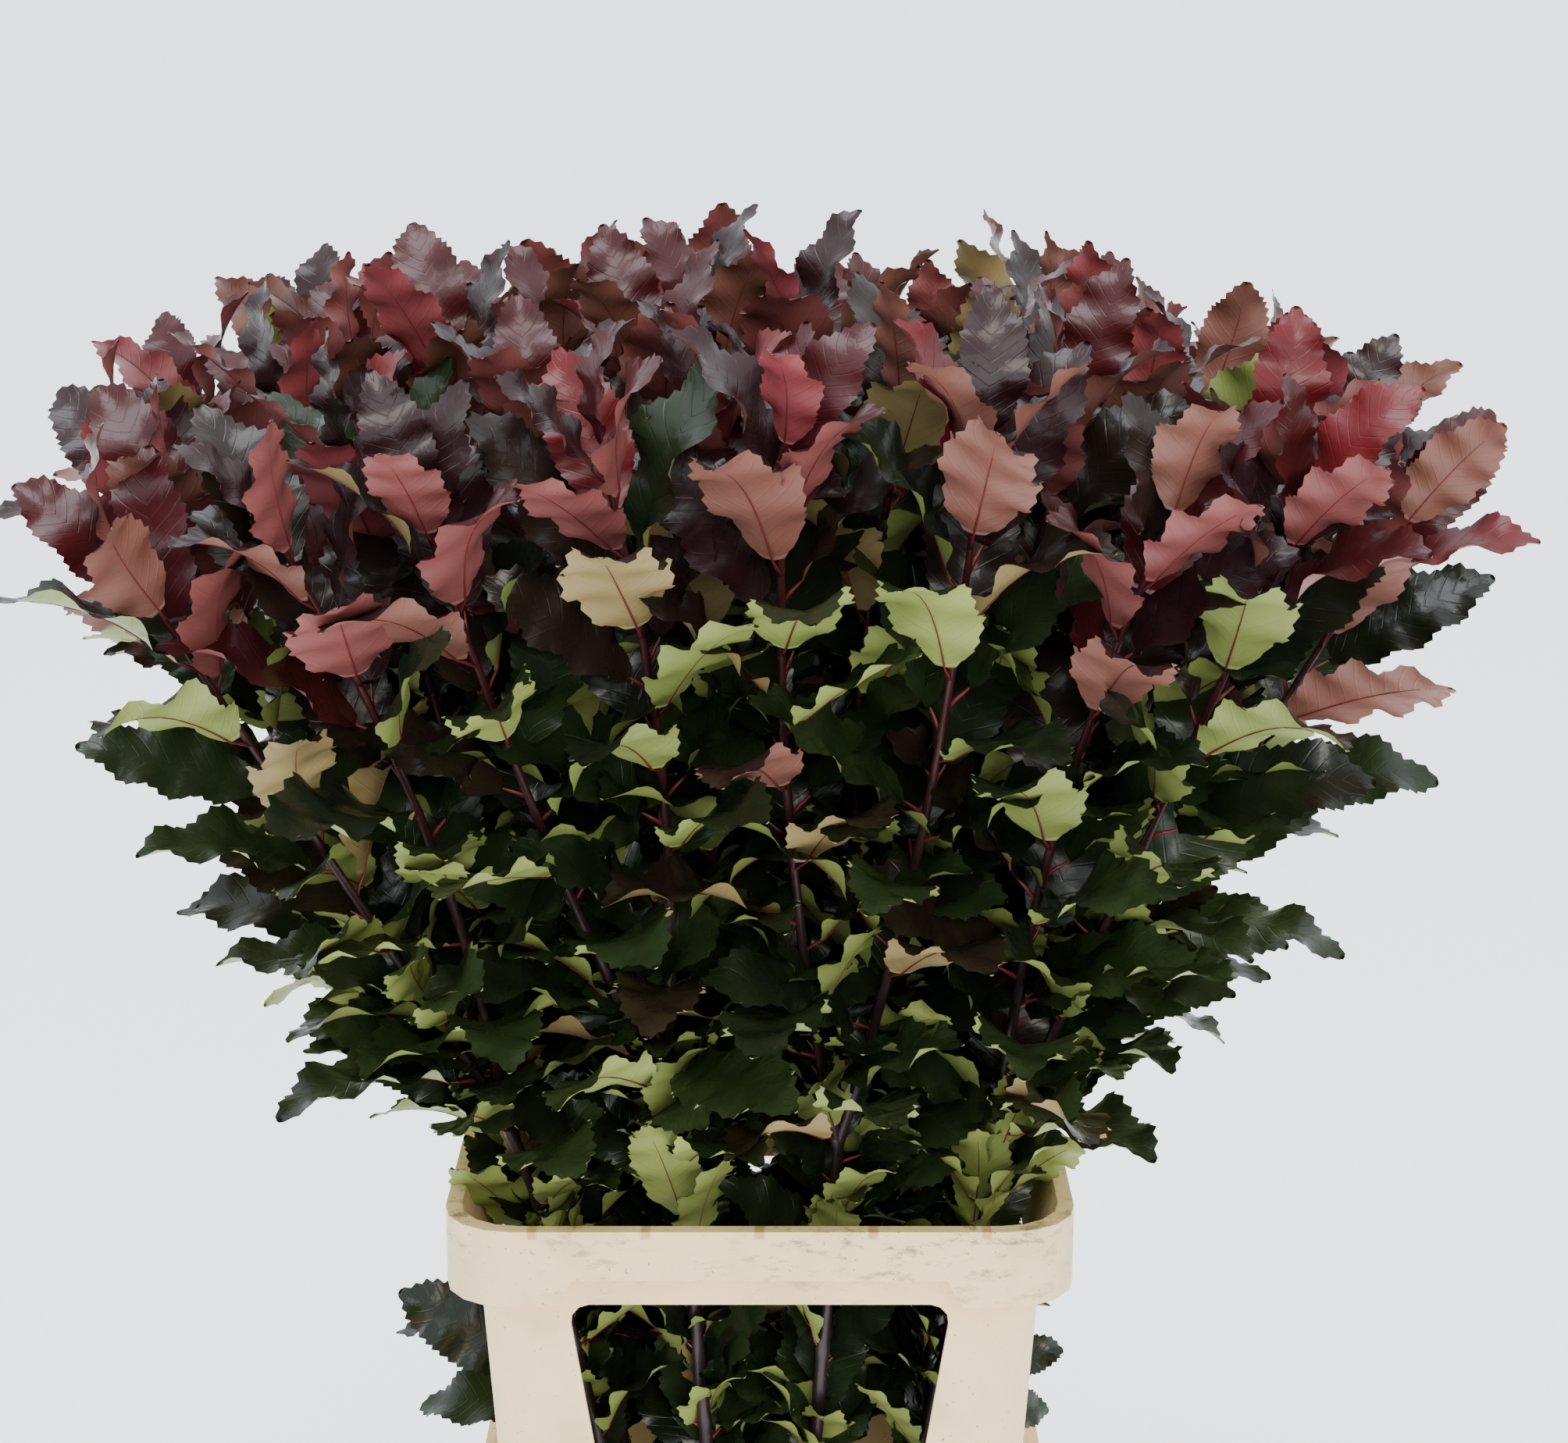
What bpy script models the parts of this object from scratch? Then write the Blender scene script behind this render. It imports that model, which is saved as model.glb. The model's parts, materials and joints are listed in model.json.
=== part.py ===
"""Cut photinia stems standing in a flower bucket with an open collar, in metres with Z up.

The origin is on the floor, under the middle of the bucket. The collar sits on the bucket and holds
the stems apart. Each stem stands on the bucket's floor, leans out over the collar's ring, and then
forks into two leafy shoots. Short inner sprigs fill the collar behind its windows.
"""

import math
import random
from functools import partial

import bmesh
import bpy
import numpy as np
from mathutils import Vector
from mathutils.bvhtree import BVHTree

SEED = 7
GAP = 0.0003
WALL = 0.003

# The collar's ring, whose outer line every other size of the container is set in from
RING_HALF_X = 0.169
RING_HALF_Y = 0.127
RING_TOP = 0.480
RING_CORNER = 0.038
CORNER_SHRINK = 0.6
CORNER_STEPS = 4
LIP_WIDTH = 0.0085
BAND_DROP = 0.028
SKIRT_DROP = 0.043
NECK_DROP = 0.034
NECK_INSET = 0.0165
TAPER = math.tan(math.radians(4.0))

# The windows in the collar's four sides, and the notches in its skirt above them
WINDOW_DROP = 0.049
WINDOW_HEIGHT = 0.136
WINDOW_SLOPE = math.tan(math.radians(8.7))
WINDOW_CORNER = 0.010
FRONT_WINDOW_HALF = 0.103
SIDE_WINDOW_HALF = 0.0635
NOTCH_FLARE = 0.008
FRONT_NOTCH_HALF = 0.0995
SIDE_NOTCH_HALF = 0.060

# The bucket, and the spigot by which the collar sits in it
BUCKET_TOP = 0.270
BUCKET_RIM_INSET = 0.004
BUCKET_SKIRT = 0.026
BUCKET_WALL_INSET = 0.0225
SHOULDER_THICK = 0.006
SHOULDER_INSET = 0.010
SPIGOT_DROP = 0.245

# The stems: four to a row and six rows deep, each with two shoots
ROWS = 6
STEMS_IN_ROW = 4
SHOOTS = 2
CORNER_ROUNDING = 0.42
FOOT_SHARE = 0.36
RIM_HALF_X = 0.138
RIM_HALF_Y = 0.078
CROWN_HALF_X = 0.326
CROWN_HALF_Y = 0.220
STEM_BEND = 1.3
SHOOT_BEND = 0.25
STEM_TOP = RING_TOP + 0.006
FORK_LOW = 0.502
FORK_HIGH = 0.590
TIP_HEIGHT = 0.915
TIP_FALL_X = 0.062
TIP_FALL_Y = 0.022
TIP_SCATTER = 0.012
TIP_SCATTER_Z = 0.018
STEM_BASE_RADIUS = 0.0046
STEM_TOP_RADIUS = 0.0034
SHOOT_TIP_RADIUS = 0.0017
STEM_SIDES = 6
SHOOT_SIDES = 3
MAIN_SIDES = 5
STEM_LEVELS = 4
SHOOT_LEVELS = 5

# The leaves, each a folded blade with eight faces
GOLDEN_ANGLE = math.radians(137.5)
OUTER_LEAVES = 15
INNER_LEAVES = 9
LEAF_SPAN = 0.385
LEAF_CROWDING = 1.2
YOUNG_LENGTH = 0.098
OLD_LENGTH = 0.118
LEAF_WIDTH = 0.44
LEAF_THICKNESS = 0.0018
LEAF_FOLD = 0.075
LEAF_ARCH = 0.05
LEAF_DROOP = 0.10
WIDEST_AT = 0.52
YOUNG_SPREAD = math.radians(20)
OLD_SPREAD = math.radians(66)
SPREAD_TRIES = (1.0, 0.8, 0.62, 0.45)
TURN_TRIES = (0, 24, -24, 48, -48)
SPACE_MARGIN = 0.0025
LEAF_CLEARANCE = 0.0012
SMALLEST_LEAF = 0.72

# The inner sprigs, on the stems next to the windows
SPRIG_LOW = 0.318
SPRIG_HIGH = 0.425
FRONT_SPRIG_OFFSET = 0.0059
SIDE_SPRIG_OFFSET = 0.0068
SPRIG_LEAN = 0.02
SPRIG_RADIUS = 0.0024
SPRIG_TIP_RADIUS = 0.0018
SPRIG_LEAVES = 7
SPRIG_LEAF = 0.074
INNER_CLEAR_X = 0.1340
INNER_CLEAR_Y = 0.0925
INNER_CLEAR_CORNER = 0.020

# How finely the spaces between stems are measured
TRACK_STEP = 0.02
TRACK_LEVELS = 60

CREAM = (0.83, 0.70, 0.50, 1)
BARK = (0.09, 0.025, 0.022, 1)
CROWN_LEAF = (0.16, 0.022, 0.020, 1)
GREEN_LEAF = (0.045, 0.085, 0.020, 1)


def clear_scene():
    for obj in list(bpy.data.objects):
        bpy.data.objects.remove(obj, do_unlink=True)


def material(name, colour, roughness):
    made = bpy.data.materials.new(name)
    made.use_nodes = True
    shader = made.node_tree.nodes["Principled BSDF"]
    shader.inputs["Base Color"].default_value = colour
    shader.inputs["Roughness"].default_value = roughness
    shader.inputs["Metallic"].default_value = 0.0
    made.diffuse_color = colour
    return made


def mesh_object(name, points, faces, finish=None, collection=None):
    """One object from points and faces, with its faces turned outwards."""
    mesh = bpy.data.meshes.new(name)
    mesh.from_pydata([tuple(p) for p in points], [], faces)
    work = bmesh.new()
    work.from_mesh(mesh)
    bmesh.ops.recalc_face_normals(work, faces=work.faces)
    work.to_mesh(mesh)
    work.free()
    obj = bpy.data.objects.new(name, mesh)
    (collection or bpy.context.scene.collection).objects.link(obj)
    if finish:
        mesh.materials.append(finish)
    return obj


def rounded_loop(inset, height):
    """Points round the ring's outline, set in by this much, with its corners drawn in as well."""
    half_x = RING_HALF_X - inset
    half_y = RING_HALF_Y - inset
    radius = RING_CORNER - CORNER_SHRINK * inset
    points = []
    for quarter, (side_x, side_y) in enumerate(((1, 1), (-1, 1), (-1, -1), (1, -1))):
        centre = Vector((side_x * (half_x - radius), side_y * (half_y - radius), height))
        for step in range(CORNER_STEPS + 1):
            angle = (quarter + step / CORNER_STEPS) * math.pi / 2
            points.append(centre + radius * Vector((math.cos(angle), math.sin(angle), 0)))
    return points


def lofted(name, profile, finish, closed):
    """A solid through loops at each (inset, height). A closed profile is a ring, an open one is capped."""
    loops = [rounded_loop(inset, height) for inset, height in profile]
    count = len(loops[0])
    faces = []
    for level in range(len(loops) if closed else len(loops) - 1):
        low = level * count
        high = (level + 1) % len(loops) * count
        for i in range(count):
            j = (i + 1) % count
            faces.append((low + i, low + j, high + j, high + i))
    if not closed:
        faces.append(tuple(range(count)))
        faces.append(tuple(range((len(loops) - 1) * count, len(loops) * count)))
    return mesh_object(name, [p for loop in loops for p in loop], faces, finish)


def prism(name, outline, low, high, along):
    """A cutter: an outline of (across, height) points, pushed from low to high along X or Y."""
    def place(across, height, depth):
        return (depth, across, height) if along == "X" else (across, depth, height)

    count = len(outline)
    points = [place(a, h, depth) for depth in (low, high) for a, h in outline]
    faces = [tuple(range(count)), tuple(range(count, 2 * count))]
    faces += [(i, (i + 1) % count, (i + 1) % count + count, i + count) for i in range(count)]
    cutter = mesh_object(name, points, faces)
    cutter.hide_render = True
    cutter.display_type = "WIRE"
    return cutter


def rounded_polygon(corners, radius, steps):
    """An outline with every corner of the polygon rounded."""
    outline = []
    for i, corner in enumerate(corners):
        here = Vector(corner)
        back = (Vector(corners[i - 1]) - here).normalized()
        ahead = (Vector(corners[(i + 1) % len(corners)]) - here).normalized()
        half_angle = back.angle(ahead) / 2
        centre = here + (back + ahead).normalized() * radius / math.sin(half_angle)
        start = here + back * radius / math.tan(half_angle) - centre
        end = here + ahead * radius / math.tan(half_angle) - centre
        for step in range(steps + 1):
            outline.append(centre + radius * start.slerp(end, step / steps).normalized())
    return outline


def window_outline(half_width):
    top = RING_TOP - WINDOW_DROP
    bottom = top - WINDOW_HEIGHT
    foot = half_width - WINDOW_HEIGHT * WINDOW_SLOPE
    corners = [(-foot, bottom), (foot, bottom), (half_width, top), (-half_width, top)]
    return rounded_polygon(corners, WINDOW_CORNER, 3)


def notch_outline(half_width):
    top = RING_TOP - BAND_DROP
    bottom = RING_TOP - SKIRT_DROP - WALL
    flare = NOTCH_FLARE * (top - bottom) / (SKIRT_DROP - BAND_DROP)
    return [
        (-half_width - flare, bottom),
        (half_width + flare, bottom),
        (half_width, top),
        (-half_width, top),
    ]


def boolean(target, operation, solver, operand=None, collection=None):
    """Joins or cuts, applies the result, and removes what it was joined to or cut by."""
    modifier = target.modifiers.new(operation.lower(), "BOOLEAN")
    modifier.operation = operation
    modifier.solver = solver
    if collection:
        modifier.operand_type = "COLLECTION"
        modifier.collection = collection
        used = list(collection.objects)
    else:
        modifier.object = operand
        used = [operand]
    graph = bpy.context.evaluated_depsgraph_get()
    result = bpy.data.meshes.new_from_object(target.evaluated_get(graph))
    target.modifiers.clear()
    target.data = result
    for obj in used:
        bpy.data.objects.remove(obj, do_unlink=True)
    if collection:
        bpy.data.collections.remove(collection)


def body_inset(drop):
    """How far the collar's outer wall is set in, this far under the ring's top."""
    return NECK_INSET + (drop - NECK_DROP) * TAPER


def make_collar(finish):
    """The ring with its hanging skirt, the tapered wall with four windows, and the spigot below."""
    shoulder_low = RING_TOP - BUCKET_TOP - GAP
    shoulder_high = shoulder_low - SHOULDER_THICK
    under_lip = 0.004
    profile = [
        (0, 0),
        (0, SKIRT_DROP),
        (WALL, SKIRT_DROP),
        (WALL, under_lip),
        (LIP_WIDTH - WALL, under_lip),
        (NECK_INSET, NECK_DROP),
        (body_inset(shoulder_high), shoulder_high),
        (SHOULDER_INSET, shoulder_high),
        (SHOULDER_INSET, shoulder_low),
        (body_inset(shoulder_low), shoulder_low),
        (body_inset(SPIGOT_DROP), SPIGOT_DROP),
        (body_inset(SPIGOT_DROP) + WALL, SPIGOT_DROP),
        (NECK_INSET + WALL, NECK_DROP),
        (LIP_WIDTH, 0),
    ]
    collar = lofted("collar", [(inset, RING_TOP - drop) for inset, drop in profile], finish, True)
    reach = 0.3
    windows = (("Y", FRONT_WINDOW_HALF), ("X", SIDE_WINDOW_HALF))
    for along, half_width in windows:
        cutter = prism("window", window_outline(half_width), -reach, reach, along)
        boolean(collar, "DIFFERENCE", "EXACT", operand=cutter)
    notches = (("Y", FRONT_NOTCH_HALF, RING_HALF_Y), ("X", SIDE_NOTCH_HALF, RING_HALF_X))
    for along, half_width, half in notches:
        for side in (-1, 1):
            ends = sorted((side * (half - 1.5 * WALL), side * (half + WALL)))
            cutter = prism("notch", notch_outline(half_width), *ends, along)
            boolean(collar, "DIFFERENCE", "EXACT", operand=cutter)
    return collar


def bucket_inset(height):
    """How far the bucket's outer wall is set in at this height."""
    return BUCKET_WALL_INSET + (BUCKET_TOP - height) * TAPER


def make_bucket(finish):
    """A tapered tub with a flat underside, and a rim like the collar's ring."""
    rim_under = BUCKET_TOP - 0.004
    skirt_low = BUCKET_TOP - BUCKET_SKIRT
    profile = [
        (bucket_inset(0), 0),
        (bucket_inset(rim_under), rim_under),
        (BUCKET_RIM_INSET + WALL, rim_under),
        (BUCKET_RIM_INSET + WALL, skirt_low),
        (BUCKET_RIM_INSET, skirt_low),
        (BUCKET_RIM_INSET, BUCKET_TOP),
        (bucket_inset(BUCKET_TOP) + WALL, BUCKET_TOP),
        (bucket_inset(WALL) + WALL, WALL),
    ]
    return lofted("bucket", profile, finish, False)


def rounded_square(u, v):
    """Draws a point of the square from -1 to 1 in towards a square with rounded corners."""
    return (
        u * math.sqrt(1 - CORNER_ROUNDING * v * v / 2),
        v * math.sqrt(1 - CORNER_ROUNDING * u * u / 2),
    )


def plan_stems():
    """For each stem, its centreline at every track level for each shoot, and its fork and tips."""
    rule = random.Random(SEED)
    stems = []
    for row in range(ROWS):
        for column in range(STEMS_IN_ROW):
            middle = (2 * column + 0.5 - STEMS_IN_ROW + 0.5) / (STEMS_IN_ROW - 1)
            v = 2 * row / (ROWS - 1) - 1
            u_rim, v_rim = rounded_square(middle, v)
            rim = Vector((u_rim * RIM_HALF_X, v_rim * RIM_HALF_Y))
            fork = rule.uniform(FORK_LOW, FORK_HIGH)
            tips = []
            for shoot in range(SHOOTS):
                places = STEMS_IN_ROW * SHOOTS - 1
                stagger = 0.25 * (1 if row % 2 else -1)
                u = (2 * (SHOOTS * column + shoot + stagger) - places) / places
                u_tip, v_tip = rounded_square(max(-1, min(1, u)), v)
                fall = TIP_FALL_X * u_tip**4 + TIP_FALL_Y * v_tip**2
                tips.append(
                    Vector((
                        u_tip * CROWN_HALF_X + rule.uniform(-1, 1) * TIP_SCATTER,
                        v_tip * CROWN_HALF_Y + rule.uniform(-1, 1) * TIP_SCATTER,
                        TIP_HEIGHT - fall + rule.uniform(-1, 1) * TIP_SCATTER_Z,
                    ))
                )
            stems.append({"row": row, "column": column, "rim": rim, "fork": fork, "tips": tips})
    return stems


def stem_place(stem, height, shoot=None):
    """Where a stem's centreline is at this height, along one of its shoots above the fork."""
    rim = stem["rim"]
    if height <= RING_TOP:
        share = max(0.0, height / RING_TOP) ** STEM_BEND
        return rim * (FOOT_SHARE + (1 - FOOT_SHARE) * share)
    tips = stem["tips"]
    middle = (tips[0] + tips[1]) / 2
    own = middle if shoot is None else tips[shoot]
    rise = (height - RING_TOP) / (own.z - RING_TOP)
    bent = (1 - SHOOT_BEND) * rise + SHOOT_BEND * rise * rise
    place = rim.lerp(middle.xy, bent)
    if shoot is not None and height > stem["fork"]:
        parted = (height - stem["fork"]) / (own.z - stem["fork"])
        spread = 1 - (1 - parted) ** 2 if parted < 1 else 2 * parted - 1
        place = place + (own.xy - middle.xy) * min(spread, 1.2)
    return place


def tracks_of(lines):
    """Centrelines on a common ladder of heights, as an array for the space test."""
    tracks = np.zeros((len(lines), TRACK_LEVELS, 2))
    for number, line in enumerate(lines):
        for level in range(TRACK_LEVELS):
            tracks[number, level] = line(level * TRACK_STEP)[:2]
    return tracks


def in_own_space(space, points):
    """True if every point is nearer to the mass's own lines than to any other mass's."""
    tracks, first, count = space
    points = np.array(points)
    level = np.clip(points[:, 2] / TRACK_STEP, 0, TRACK_LEVELS - 2)
    low = level.astype(int)
    share = (level - low)[None, :, None]
    here = tracks[:, low] * (1 - share) + tracks[:, low + 1] * share
    away = np.linalg.norm(here - points[None, :, :2], axis=2)
    own = away[first : first + count].min(axis=0)
    others = np.delete(away, range(first, first + count), axis=0).min(axis=0)
    return bool((own + SPACE_MARGIN < others).all())


def inside_collar(points):
    """True if every point that is below the ring's top is well inside the collar's wall."""
    for x, y, z in points:
        if z > RING_TOP + LEAF_CLEARANCE:
            continue
        over_x = max(0.0, abs(x) - (INNER_CLEAR_X - INNER_CLEAR_CORNER))
        over_y = max(0.0, abs(y) - (INNER_CLEAR_Y - INNER_CLEAR_CORNER))
        if math.hypot(over_x, over_y) > INNER_CLEAR_CORNER:
            return False
    return True


def tube(name, places, radii, sides, finish=None, collection=None):
    """A tapered limb through these places, with flat ends cut level."""
    points = []
    for place, radius in zip(places, radii):
        for side in range(sides):
            angle = 2 * math.pi * side / sides
            points.append(place + radius * Vector((math.cos(angle), math.sin(angle), 0)))
    faces = [tuple(range(sides)), tuple(range(len(points) - sides, len(points)))]
    for level in range(len(places) - 1):
        low = level * sides
        for i in range(sides):
            j = (i + 1) % sides
            faces.append((low + i, low + j, low + j + sides, low + i + sides))
    return mesh_object(name, points, faces, finish, collection)


def leaf_points(root, stem_way, turn, spread, length):
    """The six corners of a leaf that leaves its stem at root, turned about it and spread from it."""
    side = stem_way.orthogonal().normalized()
    outward = math.cos(turn) * side + math.sin(turn) * stem_way.cross(side)
    along = stem_way * math.cos(spread) + outward * math.sin(spread)
    upper = stem_way * math.sin(spread) - outward * math.cos(spread)
    across = along.cross(upper)
    middle = root + along * length * WIDEST_AT + upper * length * LEAF_ARCH
    edge = across * length * LEAF_WIDTH / 2
    fold = upper * length * LEAF_FOLD
    return [
        root,
        middle + edge + fold,
        middle - edge + fold,
        middle + upper * LEAF_THICKNESS / 2,
        middle - upper * LEAF_THICKNESS / 2,
        root + along * length - upper * length * LEAF_DROOP,
    ]


LEAF_FACES = [
    (0, 1, 3),
    (0, 3, 2),
    (0, 4, 1),
    (0, 2, 4),
    (5, 3, 1),
    (5, 2, 3),
    (5, 1, 4),
    (5, 4, 2),
]


def clear_tree(corners):
    """A search tree of the leaf, swollen by the clearance that it keeps from its neighbours."""
    centre = sum(corners, Vector()) / len(corners)
    upper = (corners[3] - corners[4]).normalized()
    grown = [c + (c - centre).normalized() * LEAF_CLEARANCE for c in corners]
    grown[3] = grown[3] + upper * LEAF_CLEARANCE
    grown[4] = grown[4] - upper * LEAF_CLEARANCE
    return BVHTree.FromPolygons(grown, LEAF_FACES)


def leaf_samples(corners):
    """Points over the leaf at which its space is tested."""
    samples = [tuple(c) for c in corners[1:]]
    for a, b in ((0, 1), (0, 2), (0, 3), (1, 5), (2, 5), (3, 5)):
        samples.append(tuple(corners[a].lerp(corners[b], 0.5)))
    return samples


def fitted_leaf(placed, space, root, stem_way, turn, spread, length):
    """The first of several ways to set a leaf that keeps to its space and touches nothing, or None."""
    for shrink in (1.0, SMALLEST_LEAF):
        for slant in SPREAD_TRIES:
            for nudge in TURN_TRIES:
                corners = leaf_points(
                    root, stem_way, turn + math.radians(nudge), spread * slant, length * shrink
                )
                samples = leaf_samples(corners)
                if not inside_collar(samples) or not in_own_space(space, samples):
                    continue
                tree = clear_tree(corners)
                middle = corners[3]
                near = (other for at, other in placed if (at - middle).length < 0.15)
                if any(tree.overlap(other) for other in near):
                    continue
                placed.append((middle, BVHTree.FromPolygons(corners, LEAF_FACES)))
                return corners
    return None


def at_height(stem, height, shoot=None):
    place = stem_place(stem, height, shoot)
    return Vector((place.x, place.y, height))


def on_line(places, height):
    """The point on a limb's own line at this height, and the limb's direction there."""
    for low, high in zip(places, places[1:]):
        if height <= high.z:
            break
    share = (height - low.z) / (high.z - low.z)
    return low.lerp(high, share), (high - low).normalized()


def rungs(low, high, count):
    return [low + (high - low) * i / count for i in range(count + 1)]


def taper(start, end, count):
    return [start + (end - start) * i / count for i in range(count + 1)]


def make_stem(name, stem, finish):
    """The bare stem, from its cut foot on the bucket's floor to where it enters its foliage."""
    heights = rungs(WALL + GAP, STEM_TOP, STEM_LEVELS)
    places = [at_height(stem, h) for h in heights]
    radii = taper(STEM_BASE_RADIUS, STEM_TOP_RADIUS, STEM_LEVELS)
    return tube(name, places, radii, STEM_SIDES, finish)


def leaves_on(placed, space, stem, shoot, places, rule, group):
    """Leaves round one shoot, crowded and upright at its tip, wide apart and spreading below."""
    tip = stem["tips"][shoot].z
    phase = rule.uniform(0, 2 * math.pi)
    outer = stem["row"] in (0, ROWS - 1) or stem["column"] in (0, STEMS_IN_ROW - 1)
    count = OUTER_LEAVES if outer else INNER_LEAVES
    for i in range(count):
        share = i / (count - 1)
        height = tip - 0.006 - LEAF_SPAN * share**LEAF_CROWDING
        if height < stem["fork"] + 0.01 and shoot:
            continue
        if height < STEM_TOP + 0.006:
            continue
        root, way = on_line(places, height)
        corners = fitted_leaf(
            placed,
            space,
            root,
            way,
            phase + i * GOLDEN_ANGLE,
            YOUNG_SPREAD + (OLD_SPREAD - YOUNG_SPREAD) * share**0.6,
            (YOUNG_LENGTH + (OLD_LENGTH - YOUNG_LENGTH) * min(1, 2 * share)) * rule.uniform(0.92, 1.08),
        )
        if corners:
            mesh_object("leaf", corners, LEAF_FACES, collection=group)


def make_foliage(name, placed, space, stem, finish):
    """One mass: a stem that forks into two shoots, with their leaves fused on."""
    rule = random.Random(f"{SEED} {name}")
    group = bpy.data.collections.new(name + "_leaves")
    bpy.context.scene.collection.children.link(group)
    heights = rungs(STEM_TOP + GAP, stem["tips"][0].z, SHOOT_LEVELS)
    places = [at_height(stem, h, 0) for h in heights]
    radii = taper(STEM_TOP_RADIUS, SHOOT_TIP_RADIUS, SHOOT_LEVELS)
    mass = tube(name, places, radii, MAIN_SIDES, finish)
    heights = rungs(stem["fork"], stem["tips"][1].z, SHOOT_LEVELS - 1)
    fork = on_line(places, stem["fork"] - 0.004)[0]
    side_places = [fork] + [at_height(stem, h, 1) for h in heights[1:]]
    radii = taper(STEM_TOP_RADIUS * 0.8, SHOOT_TIP_RADIUS, SHOOT_LEVELS - 1)
    tube("side_shoot", side_places, radii, SHOOT_SIDES, collection=group)
    for shoot, line in enumerate((places, side_places)):
        leaves_on(placed, space, stem, shoot, line, rule, group)
    boolean(mass, "UNION", "MANIFOLD", collection=group)
    return mass


def has_sprig(stem):
    """The front and back rows, and one stem in the middle of each side."""
    ends = stem["row"] in (0, ROWS - 1)
    left = (stem["row"], stem["column"]) == (ROWS // 2 - 1, 0)
    right = (stem["row"], stem["column"]) == (ROWS // 2, STEMS_IN_ROW - 1)
    return ends or left or right


def sprig_line(stem, height):
    """A sprig's centreline, in front of a stem by a wide window and behind a stem by a side one."""
    side = Vector((0, math.copysign(1, stem["rim"].y)))
    offset = FRONT_SPRIG_OFFSET
    if 0 < stem["row"] < ROWS - 1:
        side = Vector((-math.copysign(1, stem["rim"].x), 0))
        offset = SIDE_SPRIG_OFFSET
    place = stem_place(stem, height) + side * (offset + SPRIG_LEAN * (height - SPRIG_LOW))
    return Vector((place.x, place.y, height))


def make_sprig(name, placed, space, stem, finish):
    """Leaves low on a stem, inside the collar, on a twig that lies along it."""
    rule = random.Random(f"{SEED} {name}")
    group = bpy.data.collections.new(name + "_leaves")
    bpy.context.scene.collection.children.link(group)
    heights = rungs(SPRIG_LOW, SPRIG_HIGH, 2)
    places = [sprig_line(stem, h) for h in heights]
    mass = tube(name, places, taper(SPRIG_RADIUS, SPRIG_TIP_RADIUS, 2), SHOOT_SIDES, finish)
    phase = rule.uniform(0, 2 * math.pi)
    for i in range(SPRIG_LEAVES):
        height = SPRIG_LOW + 0.006 + (SPRIG_HIGH - SPRIG_LOW - 0.010) * i / (SPRIG_LEAVES - 1)
        root, way = on_line(places, height)
        corners = fitted_leaf(
            placed,
            space,
            root,
            way,
            phase + i * GOLDEN_ANGLE,
            math.radians(rule.uniform(30, 60)),
            SPRIG_LEAF * rule.uniform(0.9, 1.1),
        )
        if corners:
            mesh_object("leaf", corners, LEAF_FACES, collection=group)
    boolean(mass, "UNION", "MANIFOLD", collection=group)
    return mass


def tree_of(obj):
    mesh = obj.data
    return BVHTree.FromPolygons([v.co for v in mesh.vertices], [tuple(p.vertices) for p in mesh.polygons])


def main():
    clear_scene()
    cream = material("moulded_plastic", CREAM, 0.45)
    bark = material("stem_bark", BARK, 0.5)
    crown_leaf = material("crown_leaf", CROWN_LEAF, 0.3)
    green_leaf = material("green_leaf", GREEN_LEAF, 0.3)
    make_bucket(cream)
    make_collar(cream)
    stems = plan_stems()
    placed = []
    for number, stem in enumerate(stems):
        solid = make_stem(f"stem_{number + 1:02d}", stem, bark)
        placed += [(at_height(stem, height), tree_of(solid)) for height in rungs(0.3, 0.5, 4)]
    with_sprigs = [stem for stem in stems if has_sprig(stem)]
    tracks = tracks_of([partial(sprig_line, stem) for stem in with_sprigs])
    for number, stem in enumerate(with_sprigs):
        space = (tracks, number, 1)
        make_sprig(f"inner_foliage_{number + 1:02d}", placed, space, stem, green_leaf)
    shoots = [(stem, shoot) for stem in stems for shoot in range(SHOOTS)]
    tracks = tracks_of([partial(stem_place, stem, shoot=shoot) for stem, shoot in shoots])
    for number, stem in enumerate(stems):
        space = (tracks, number * SHOOTS, SHOOTS)
        make_foliage(f"foliage_{number + 1:02d}", placed, space, stem, crown_leaf)


main()
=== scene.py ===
"""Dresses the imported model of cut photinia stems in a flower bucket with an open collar.

The stems, shoots and leaves follow the same rule as the solids, carried on to every leaf. Sizes are
in metres, in the frame's own place.
"""

import json
import math
import random

import bmesh
import bpy
import numpy as np
from bpy.props import FloatProperty, FloatVectorProperty, IntProperty, PointerProperty
from mathutils import Matrix, Vector, noise

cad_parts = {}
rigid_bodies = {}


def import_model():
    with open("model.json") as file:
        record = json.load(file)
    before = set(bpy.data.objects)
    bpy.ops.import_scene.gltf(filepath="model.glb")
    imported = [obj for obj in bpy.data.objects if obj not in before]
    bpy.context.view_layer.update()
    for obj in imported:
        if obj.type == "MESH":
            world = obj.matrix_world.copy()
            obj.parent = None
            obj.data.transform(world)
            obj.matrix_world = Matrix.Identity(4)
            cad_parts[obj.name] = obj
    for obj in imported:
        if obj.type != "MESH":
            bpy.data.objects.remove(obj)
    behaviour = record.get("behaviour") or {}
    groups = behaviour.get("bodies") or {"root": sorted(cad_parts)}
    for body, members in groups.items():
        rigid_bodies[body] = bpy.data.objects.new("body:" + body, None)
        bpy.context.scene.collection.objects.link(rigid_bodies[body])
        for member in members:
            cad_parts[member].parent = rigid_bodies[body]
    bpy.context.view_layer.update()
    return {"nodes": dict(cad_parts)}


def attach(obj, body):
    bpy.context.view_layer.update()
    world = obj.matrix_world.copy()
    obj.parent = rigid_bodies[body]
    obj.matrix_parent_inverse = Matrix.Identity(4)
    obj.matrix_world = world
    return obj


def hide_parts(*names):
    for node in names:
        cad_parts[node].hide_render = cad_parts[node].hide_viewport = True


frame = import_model()

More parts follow.
